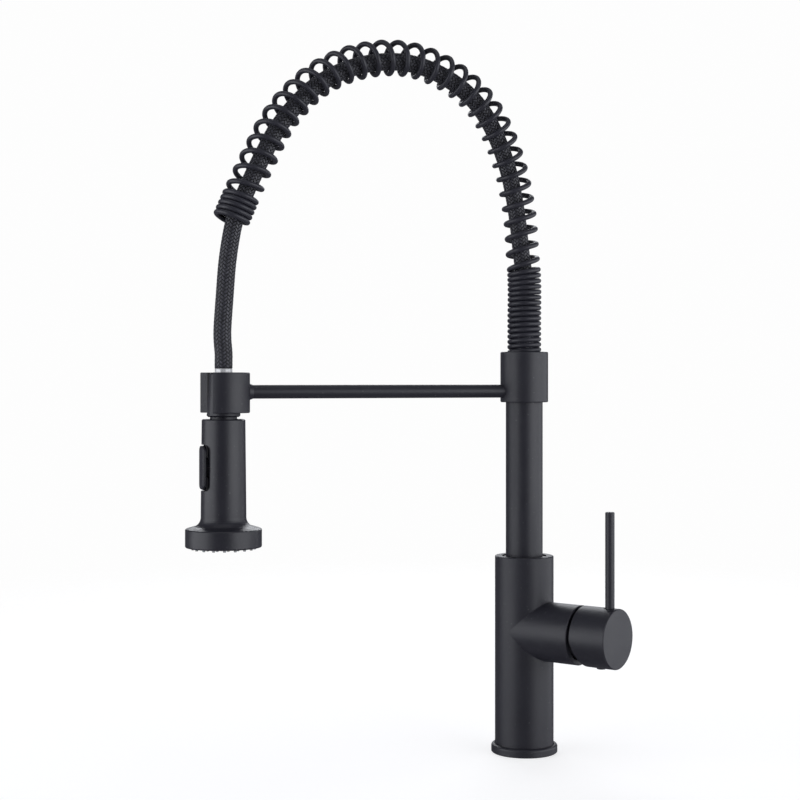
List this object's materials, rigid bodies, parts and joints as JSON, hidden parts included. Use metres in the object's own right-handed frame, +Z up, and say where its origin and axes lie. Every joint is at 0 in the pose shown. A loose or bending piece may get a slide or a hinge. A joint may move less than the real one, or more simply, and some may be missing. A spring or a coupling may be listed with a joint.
{
  "type": "pull-down spring spout faucet",
  "caption": "Deck-mounted mixer faucet with a swivelling riser, coil-spring arch over a braided hose, docking arm, pull-down two-mode spray head and a pin lever on a side valve.",
  "frame": {"origin": "centre of the deck face under the base", "axes": "+Z up along the riser, -X along the docking arm towards the spray head"},
  "size_m": [0.3265, 0.1071, 0.5379],
  "materials": {
    "body_black": "fine-textured matte black coating on brass",
    "spring_black": "matte black coating on spring wire",
    "hose_braid": "black nylon braid",
    "head_black": "fine-textured matte black plastic",
    "rubber_black": "matte",
    "brass": "machined",
    "copper": "drawn tube",
    "steel": "machined",
    "ferrule_chrome": "polished",
    "white_plastic": "moulded",
    "valve_blue": "moulded",
    "ceramic": "lapped",
    "nozzle_grey": "soft silicone"
  },
  "bodies": {
    "base": {"base_flange": "body_black", "base_gasket": "rubber_black", "body_shell": "body_black", "supply_block": "brass", "hot_tube": "copper", "cold_tube": "copper", "valve_core": "brass", "cartridge_seal": "rubber_black", "cartridge_base": "white_plastic", "fixed_disc": "ceramic", "cartridge_housing": "white_plastic", "retaining_nut": "brass", "dome_cover": "body_black", "riser_bush": "head_black", "swivel_washer": "white_plastic", "riser_lock_screw": "steel"},
    "valve_carrier": {"lever_carrier": "white_plastic", "stem_pin": "steel"},
    "handle": {"cartridge_stem": "steel", "handle_cap": "body_black", "lever_rod": "body_black", "handle_set_screw": "steel", "set_screw_plug": "body_black"},
    "valve_disc": {"moving_disc": "ceramic", "disc_driver": "white_plastic"},
    "spout": {"riser_tube": "body_black", "riser_seals": "rubber_black", "top_collar": "body_black", "collar_set_screw": "steel", "hose_adapter": "brass", "hose_upper_ferrule": "steel", "spring": "spring_black", "hose": "hose_braid", "dock_arm": "body_black", "dock_clip": "body_black", "dock_liner": "rubber_black"},
    "hose_end": {"hose_ferrule": "ferrule_chrome", "hose_tail": "brass"},
    "spray_head": {"dock_cone": "body_black", "tail_washer": "rubber_black", "head_core": "head_black", "head_shell": "head_black", "spray_chamber": "white_plastic", "nozzle_mat": "nozzle_grey", "nozzle_plate": "head_black", "aerator_housing": "head_black", "aerator_mesh": "steel", "check_valve": "valve_blue", "button_pin": "steel"},
    "button": {"spray_button": "head_black"},
    "diverter": {"diverter_spool": "white_plastic", "spool_seals": "rubber_black"}
  },
  "joints": [
    {"name": "spout_swivel", "type": "hinge", "parent": "base", "child": "spout", "pos_m": [0, 0, 0.14], "axis": [0, 0, 1], "continuous": true},
    {"name": "lever_temperature", "type": "hinge", "parent": "base", "child": "valve_carrier", "pos_m": [0, 0, 0.0935], "axis": [0.5736, -0.8192, 0], "range_deg": [-45, 45]},
    {"name": "lever_flow", "type": "hinge", "parent": "valve_carrier", "child": "handle", "pos_m": [0.0195, -0.02785, 0.0935], "axis": [0.8192, 0.5736, 0], "range_deg": [0, 18]},
    {"name": "disc_slide", "type": "slide", "parent": "valve_carrier", "child": "valve_disc", "axis": [0, 0, 1], "range_m": [0, 0.0032]},
    {"name": "head_pull", "type": "slide", "parent": "spout", "child": "hose_end", "axis": [0, 0, -1], "range_m": [0, 0.12], "stiffness_N_per_m": 60, "springref_m": -0.1, "deforming": ["spring", "hose"]},
    {"name": "head_spin", "type": "hinge", "parent": "hose_end", "child": "spray_head", "pos_m": [-0.234, 0, 0.27], "axis": [0, 0, 1], "continuous": true},
    {"name": "button_rock", "type": "hinge", "parent": "spray_head", "child": "button", "pos_m": [-0.2453, 0, 0.2215], "axis": [0, 1, 0], "range_deg": [-4, 4]},
    {"name": "diverter_slide", "type": "slide", "parent": "spray_head", "child": "diverter", "axis": [0, 0, 1], "range_m": [-0.00042, 0.00042]}
  ],
  "couplings": [
    {"joint": "disc_slide", "follows": "lever_flow", "m_per_rad": 0.01},
    {"joint": "button_rock", "follows": "diverter_slide", "rad_per_m": -164}
  ]
}
